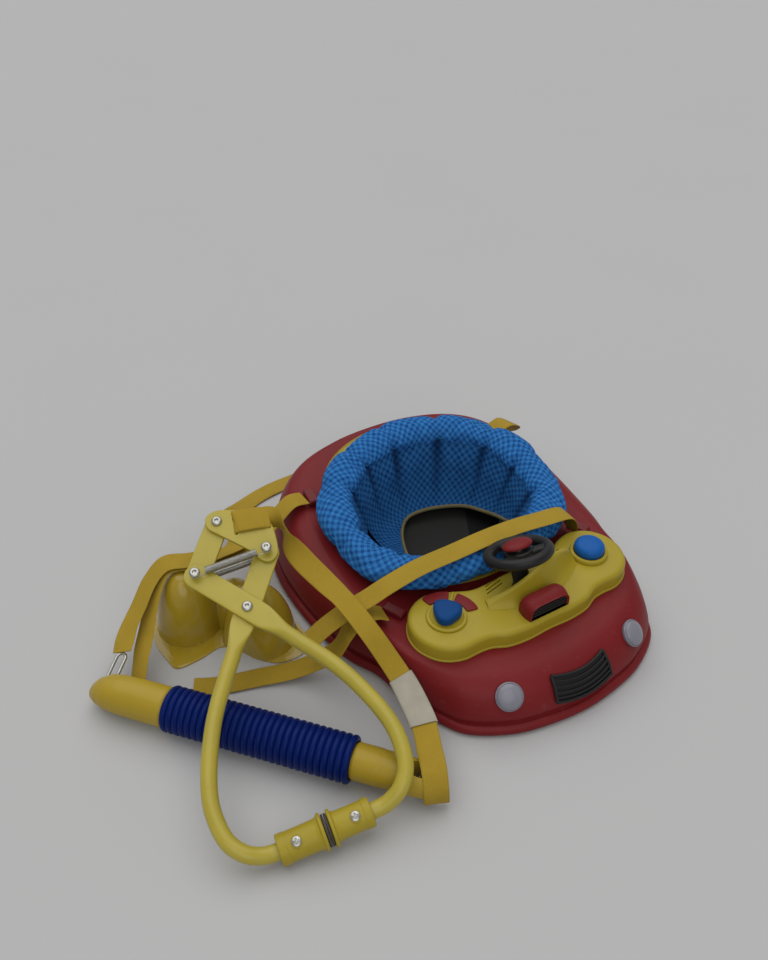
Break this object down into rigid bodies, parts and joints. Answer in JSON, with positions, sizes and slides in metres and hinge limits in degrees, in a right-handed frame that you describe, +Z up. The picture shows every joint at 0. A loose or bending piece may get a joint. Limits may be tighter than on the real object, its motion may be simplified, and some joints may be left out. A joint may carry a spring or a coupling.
{
  "type": "baby doorway jumper",
  "caption": "Baby doorway jumper: a toy car tray with a padded fabric seat, a sprung door clamp, a sleeved bounce spring, a spreader and webbing straps.",
  "frame": {"origin": "bottom centre of the box round all the solids but the free webbing, on the floor", "axes": "+Z up, +Y towards the back of the tray, -Y towards its nose"},
  "size_m": [0.664, 0.5339, 0.1698],
  "materials": {
    "red_plastic": "semi-gloss moulded",
    "yellow_plastic": "satin moulded",
    "gloss_yellow_plastic": "gloss moulded",
    "blue_plastic": "satin, ribbed",
    "bright_blue_plastic": "satin",
    "yellow_paint": "powder coat",
    "zinc_steel": "zinc plated",
    "grey_rubber": "matt",
    "black_plastic": "satin",
    "white_fabric": "smooth woven label",
    "blue_check_fabric": "printed check cloth",
    "tan_fabric": "bias binding",
    "yellow_webbing": "flat woven webbing",
    "pale_grey_plastic": "satin"
  },
  "bodies": {
    "tray": {"body_shell": "red_plastic", "seat_hoop": "yellow_plastic", "seat_collar": "blue_check_fabric", "seat_sling": "blue_check_fabric", "seat_binding": "tan_fabric", "dash_panel": "yellow_plastic", "windscreen": "yellow_plastic", "steering_column": "black_plastic", "knob_boss": "yellow_plastic", "gauge_segment_left": "red_plastic", "gauge_segment_right": "red_plastic", "gauge_pointer": "yellow_plastic", "button_ring": "yellow_plastic", "button_spring": "zinc_steel", "headlight_left": "pale_grey_plastic", "headlight_right": "pale_grey_plastic", "grille": "black_plastic", "bonnet_scoop": "red_plastic", "scoop_intake": "black_plastic", "anchor_front_right": "black_plastic", "anchor_front_left": "black_plastic", "anchor_rear_right": "black_plastic", "anchor_rear_left": "black_plastic", "arm_a": "yellow_paint", "rivet_hinge": "zinc_steel", "rivet_link": "zinc_steel", "clamp_spring_upper": "zinc_steel", "clamp_spring_lower": "zinc_steel", "foot_sleeve_a": "yellow_plastic", "rubber_pad_a": "grey_rubber", "screw_a": "zinc_steel", "ribbed_sleeve": "blue_plastic", "main_spring": "zinc_steel", "lower_cap": "gloss_yellow_plastic", "link_pin": "zinc_steel", "cap_link": "zinc_steel", "spreader": "gloss_yellow_plastic", "strap_hanging_upper": "yellow_webbing", "strap_hanging_lower": "yellow_webbing", "label_sleeve": "white_fabric", "strap_front_right": "yellow_webbing", "strap_front_left": "yellow_webbing", "strap_rear_left": "yellow_webbing", "strap_rear_right": "yellow_webbing"},
    "clamp_arm": {"arm_b": "yellow_paint", "rivet_hanger": "zinc_steel", "foot_sleeve_b": "yellow_plastic", "rubber_pad_b": "grey_rubber", "screw_b": "zinc_steel"},
    "link": {"link_a": "yellow_paint"},
    "hanger": {"hanger_plate": "yellow_paint", "rivet_top": "zinc_steel", "hanger_loop": "yellow_webbing"},
    "spring_end": {"upper_cap": "gloss_yellow_plastic", "cap_pin": "zinc_steel"},
    "wheel": {"steering_wheel": "black_plastic", "horn_spring": "zinc_steel"},
    "horn": {"horn_button": "red_plastic"},
    "knob": {"key_knob": "bright_blue_plastic"},
    "button": {"round_button": "bright_blue_plastic"}
  },
  "joints": [
    {"name": "clamp_open", "type": "hinge", "parent": "tray", "child": "clamp_arm", "pos_m": [-0.15614, -0.00908, 0.1101], "axis": [0.1808, 0.366, -0.9129], "range_deg": [0, 38], "stiffness_Nm_per_rad": 6, "springref_deg": -17.19, "deforming": ["clamp_spring_upper", "clamp_spring_lower", "strap_hanging_upper"]},
    {"name": "link_turn", "type": "hinge", "parent": "tray", "child": "link", "pos_m": [-0.1886, 0.04392, 0.12492], "axis": [0.1808, 0.366, -0.9129], "range_deg": [0, 38]},
    {"name": "hanger_turn", "type": "hinge", "parent": "link", "child": "hanger", "pos_m": [-0.14574, 0.08437, 0.14963], "axis": [0.1808, 0.366, -0.9129], "range_deg": [-38, 0]},
    {"name": "spring_stretch", "type": "slide", "parent": "tray", "child": "spring_end", "axis": [0.6591, -0.7521, 0], "range_m": [0, 0.1], "stiffness_N_per_m": 400, "deforming": ["ribbed_sleeve", "main_spring", "strap_hanging_lower"]},
    {"name": "wheel_turn", "type": "hinge", "parent": "tray", "child": "wheel", "pos_m": [0.12386, -0.09248, 0.12], "axis": [0, 0.4067, 0.9135], "continuous": true},
    {"name": "horn_press", "type": "slide", "parent": "wheel", "child": "horn", "axis": [0, -0.4067, -0.9135], "range_m": [0, 0.003], "stiffness_N_per_m": 300, "deforming": ["horn_spring"]},
    {"name": "knob_turn", "type": "hinge", "parent": "tray", "child": "knob", "pos_m": [0.02686, -0.10148, 0.0806], "axis": [0, 0, 1], "range_deg": [-45, 45]},
    {"name": "button_press", "type": "slide", "parent": "tray", "child": "button", "axis": [0, 0, -1], "range_m": [0, 0.004], "stiffness_N_per_m": 400, "deforming": ["button_spring"]}
  ],
  "couplings": [
    {"joint": "link_turn", "follows": "clamp_open", "ratio": 1},
    {"joint": "hanger_turn", "follows": "clamp_open", "ratio": -1}
  ]
}
